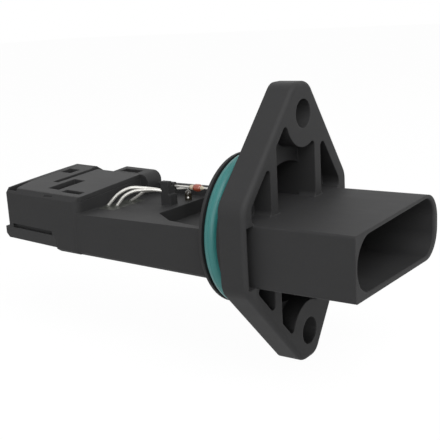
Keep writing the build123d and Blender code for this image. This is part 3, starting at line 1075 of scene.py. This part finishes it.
@dataclass(frozen=True)
class TemperatureSensor:
    """The glass bead on its two leads, and the joint that one lead ends in."""

    finishes: tuple[tuple[str, str], ...] = (
        ("thermistor_bead", "bead"),
        ("thermistor_collar", "collar"),
        ("joint_bead", "joint"),
        ("joint_lead", "lead"),
        ("thermistor_lead_inner", "lead"),
        ("thermistor_lead_outer", "lead"),
    )
    tail_place: Point = (-23.80, 2.9, 7.6)
    tail_axis: Point = (1.0, 0.0, 0.0)
    tail_profile: tuple[Pair, ...] = (
        (0.0, 0.0), (0.0, 0.62), (0.15, 0.55), (0.40, 0.42), (0.80, 0.33), (0.90, 0.0),
    )
    solder_place: Point = (-31.27, 7.05, 3.72)
    solder_axis: Point = (0.5, -0.75, 0.1)
    solder_profile: tuple[Pair, ...] = (
        (-0.12, 0.0), (-0.12, 0.30), (0.0, 0.34), (0.10, 0.30), (0.18, 0.20), (0.22, 0.0),
    )

    def build(self, dresser: Dresser) -> None:
        """Dresses the nodes and adds the bead's tail and the solder on the joint.

        Args:
            dresser: gives finishes and bodies.
        """
        for name, finish in self.finishes:
            dresser.node(name, finish)
        tail = lathe("bead_tail", self.tail_profile, self.tail_place, self.tail_axis)
        dresser.piece(tail, "collar", "collar_resin")
        solder = lathe("joint_solder", self.solder_profile, self.solder_place, self.solder_axis)
        dresser.piece(solder, "lead", "tinned_lead")


@dataclass(frozen=True)
class Circuit:
    """The sealed circuit, the terminals and the strip that reaches into the channel."""

    finishes: tuple[tuple[str, str], ...] = (
        ("base_plate", "plate"),
        ("substrate", "ceramic"),
        ("signal_chip", "chip"),
        ("sensor_carrier", "ceramic"),
        ("sensing_chip", "film"),
    )
    capacitor_count: int = 4
    terminal_count: int = 5

    def build(self, dresser: Dresser) -> None:
        """Dresses every node of the circuit.

        Args:
            dresser: gives finishes.
        """
        for name, finish in self.finishes:
            dresser.node(name, finish)
        for number in range(1, self.capacitor_count + 1):
            dresser.node(f"capacitor_{number}", "capacitor")
        for number in range(1, self.terminal_count + 1):
            dresser.node(f"terminal_{number}", "terminal")
            dresser.node(f"bond_wire_{number}", "plate")


# Studio


@dataclass(frozen=True)
class Softbox:
    """A square lamp with a soft edge."""

    name: str
    place: Point
    width: float
    power: float

    def build(self, target: Point) -> None:
        """Adds the lamp, turned to the target.

        Args:
            target: the point that it faces, in millimetres.
        """
        data = bpy.data.lights.new(self.name, "AREA")
        data.shape = "SQUARE"
        data.size = self.width * MM
        data.energy = self.power
        lamp = linked(bpy.data.objects.new(self.name, data))
        lamp.location = Vector(self.place) * MM
        facing = (Vector(target) - Vector(self.place)).to_track_quat("-Z", "Y")
        lamp.rotation_euler = facing.to_euler()


@dataclass(frozen=True)
class Studio:
    """Pale floor, white surroundings, soft lamps and the photograph's camera.

    The target is what the camera looks at before its shift. Angles are in degrees, and the clip
    distances in metres.
    """

    target: Point = (0.0, -21.8, 6.5)
    azimuth: float = 35.18
    elevation: float = 13.94
    roll: float = 3.09
    distance: float = 174.7
    lens: float = 69.52
    sensor_width: float = 36.0
    shift: Pair = (-0.0110, 0.0107)
    clip_span: Pair = (0.01, 20.0)
    ambient: float = 0.32
    floor_half: float = 3000.0
    floor_gap: float = 0.2
    floor_grey: Colour = (0.72, 0.72, 0.72)
    floor_glow: float = 1.04
    floor_glow_share: float = 0.93
    lamps: tuple[Softbox, ...] = (
        Softbox("key_box", (300.0, -160.0, 400.0), width=350.0, power=1.95),
        Softbox("near_box", (200.0, -600.0, 200.0), width=450.0, power=1.35),
        Softbox("rim_box", (-300.0, 350.0, 420.0), width=360.0, power=0.2),
    )

    def build(self) -> None:
        """Makes the surroundings, floor, lamps and camera."""
        bpy.context.scene.view_settings.view_transform = "Standard"
        self.surroundings()
        self.floor()
        for lamp in self.lamps:
            lamp.build(self.target)
        self.camera()

    def surroundings(self) -> None:
        """White to the camera and in reflections, and a level soft light on the rest."""
        world = bpy.data.worlds.new("studio")
        sheet = FinishSheet(world)
        strength = sheet.background_rays() * (1.0 - self.ambient) + self.ambient
        sockets = {"Color": WHITE, "Strength": strength}
        background = sheet.node("ShaderNodeBackground", sockets=sockets)
        add_node(sheet.tree, "ShaderNodeOutputWorld", sockets={"Surface": background})
        bpy.context.scene.world = world

    def floor(self) -> None:
        """A wide pale floor just below the flange's lower ear."""
        low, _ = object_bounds()
        half = self.floor_half * MM
        level = low[2] - self.floor_gap * MM
        signs = ((-1, -1), (1, -1), (1, 1), (-1, 1))
        corners = [(x * half, y * half, level) for x, y in signs]
        mesh = bpy.data.meshes.new("floor")
        mesh.from_pydata(corners, [], [(0, 1, 2, 3)])
        mesh.materials.append(self.floor_finish())
        linked(bpy.data.objects.new("floor", mesh))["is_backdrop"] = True

    def floor_finish(self) -> bpy.types.Material:
        """Near white that keeps a faint shadow where the camera looks.

        Returns:
            The floor's material.
        """
        sheet = FinishSheet(bpy.data.materials.new("studio_floor"))
        matte = sheet.node("ShaderNodeBsdfDiffuse", sockets={"Color": (*self.floor_grey, 1.0)})
        sockets = {"Color": WHITE, "Strength": self.floor_glow}
        glow = sheet.node("ShaderNodeEmission", sockets=sockets)
        share = sheet.background_rays() * self.floor_glow_share
        return sheet.ended(sheet.node("ShaderNodeMixShader", sockets={0: share, 1: matte, 2: glow}))

    def camera(self) -> None:
        """The camera at the photograph's place, angle and framing."""
        azimuth, elevation, roll = (
            math.radians(angle) for angle in (self.azimuth, self.elevation, self.roll)
        )
        back = Vector((
            math.sin(azimuth) * math.cos(elevation),
            -math.cos(azimuth) * math.cos(elevation),
            math.sin(elevation),
        ))
        right = Vector((0, 0, 1)).cross(back).normalized()
        upward = back.cross(right)
        turned_right = math.cos(roll) * right - math.sin(roll) * upward
        turned_up = math.sin(roll) * right + math.cos(roll) * upward
        data = bpy.data.cameras.new("photo_camera")
        data.sensor_width = self.sensor_width
        data.lens = self.lens
        (data.shift_x, data.shift_y) = self.shift
        (data.clip_start, data.clip_end) = self.clip_span
        camera = linked(bpy.data.objects.new("photo_camera", data))
        turn = Matrix((turned_right, turned_up, back)).transposed().to_4x4()
        eye = (Vector(self.target) + self.distance * back) * MM
        camera.matrix_world = Matrix.Translation(eye) @ turn
        bpy.context.scene.camera = camera


def main() -> None:
    """Loads the frame, builds each sub-assembly in order and sets the studio."""
    logging.basicConfig(level=logging.INFO, format="%(name)s: %(message)s")
    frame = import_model()
    dresser = Dresser(frame["nodes"], Finishes())
    for assembly in (Housing(), Seal(), Covers(), Leads(), TemperatureSensor(), Circuit()):
        LOG.info("building %s", type(assembly).__name__)
        assembly.build(dresser)
    Studio().build()


if __name__ == "__main__":
    main()
